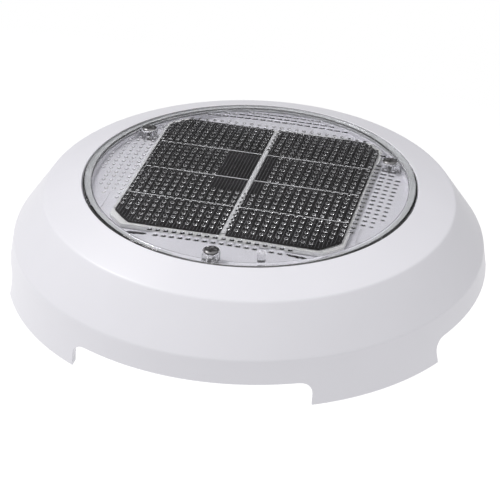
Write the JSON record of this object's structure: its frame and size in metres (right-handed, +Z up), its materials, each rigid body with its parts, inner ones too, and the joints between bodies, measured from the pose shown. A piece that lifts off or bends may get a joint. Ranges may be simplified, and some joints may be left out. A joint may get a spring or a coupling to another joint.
{
  "type": "solar roof vent fan",
  "caption": "Low round roof vent with a notched white cover, clear lens over a solar panel, battery motor fan, rotary shutter and twist-off deck ring.",
  "frame": {"origin": "middle of the base plane on which the four feet and the base gasket stand", "axes": "+Z up along the fan axis; the four feet are on the diagonals, the notches and the edges of the square panel face +X, -X, +Y and -Y"},
  "size_m": [0.2154, 0.2154, 0.0506],
  "materials": {
    "cover_white": "satin moulded white ABS",
    "inner_white": "matt moulded white ABS",
    "lens_clear": "clear polycarbonate with moulded bumps",
    "seal_grey": "light grey silicone rubber",
    "seal_black": "black foam rubber",
    "cell_dark": "dark silicon with silver grid fingers",
    "board_white": "white backing board",
    "tin": "tinned strip",
    "screw_steel": "stainless steel",
    "bright_steel": "bright steel",
    "magnet_dark": "dark ferrite",
    "bush_brass": "sintered bronze",
    "winding_copper": "enamelled copper",
    "black_plastic": "black moulded plastic",
    "fan_grey": "moulded light grey plastic",
    "battery_sleeve": "shrink sleeve",
    "switch_red": "moulded red plastic",
    "lead_red": "insulated lead",
    "lead_black": "insulated lead"
  },
  "bodies": {
    "deck": {"deck_ring": "inner_white", "base_gasket": "seal_black", "throat_plate": "inner_white", "insect_screen": "bright_steel", "screen_ring": "inner_white"},
    "shutter": {"shutter_disc": "inner_white", "shutter_knob": "inner_white", "knob_screw": "screw_steel"},
    "collar": {"twist_collar": "inner_white"},
    "cover": {"cover_shell": "cover_white", "motor_cup": "inner_white", "battery_tray": "inner_white", "dome_lens": "lens_clear", "lens_seal": "seal_grey", "solar_cell_1": "cell_dark", "solar_cell_2": "cell_dark", "solar_cell_3": "cell_dark", "solar_cell_4": "cell_dark", "solar_cell_5": "cell_dark", "solar_cell_6": "cell_dark", "solar_cell_7": "cell_dark", "solar_cell_8": "cell_dark", "panel_board": "board_white", "center_ribbon": "tin", "battery_contact": "tin", "lens_screw_1": "screw_steel", "lens_screw_2": "screw_steel", "lens_screw_3": "screw_steel", "motor_screw_1": "screw_steel", "motor_screw_2": "screw_steel", "motor_screw_3": "screw_steel", "tray_screw_1": "screw_steel", "tray_screw_2": "screw_steel", "motor_can": "bright_steel", "battery_spring": "bright_steel", "motor_magnet": "magnet_dark", "motor_bush": "bush_brass", "motor_end_cap": "black_plastic", "switch_body": "black_plastic", "battery": "battery_sleeve", "motor_lead_red": "lead_red", "battery_lead_red": "lead_red", "panel_lead_red": "lead_red", "motor_lead_black": "lead_black", "battery_lead_black": "lead_black", "panel_lead_black": "lead_black"},
    "fan": {"fan_rotor": "fan_grey", "motor_shaft": "bright_steel", "armature": "winding_copper", "fan_clip": "bright_steel"},
    "battery_door": {"battery_door": "inner_white"},
    "switch_slider": {"switch_slider": "switch_red"}
  },
  "joints": [
    {"name": "shutter_turn", "type": "hinge", "parent": "deck", "child": "shutter", "pos_m": [0, 0, 0.006], "axis": [0, 0, 1], "range_deg": [0, 45]},
    {"name": "cover_twist", "type": "hinge", "parent": "deck", "child": "collar", "pos_m": [0, 0, 0.01], "axis": [0, 0, 1], "range_deg": [-25, 0]},
    {"name": "cover_lift", "type": "slide", "parent": "collar", "child": "cover", "axis": [0, 0, 1], "range_m": [0, 0.06]},
    {"name": "fan_spin", "type": "hinge", "parent": "cover", "child": "fan", "pos_m": [0, 0, 0.02], "axis": [0, 0, 1], "continuous": true},
    {"name": "battery_door_slide", "type": "slide", "parent": "cover", "child": "battery_door", "axis": [1, 0, 0], "range_m": [0, 0.028]},
    {"name": "switch_slide", "type": "slide", "parent": "cover", "child": "switch_slider", "axis": [1, 0, 0], "range_m": [0, 0.004]}
  ]
}
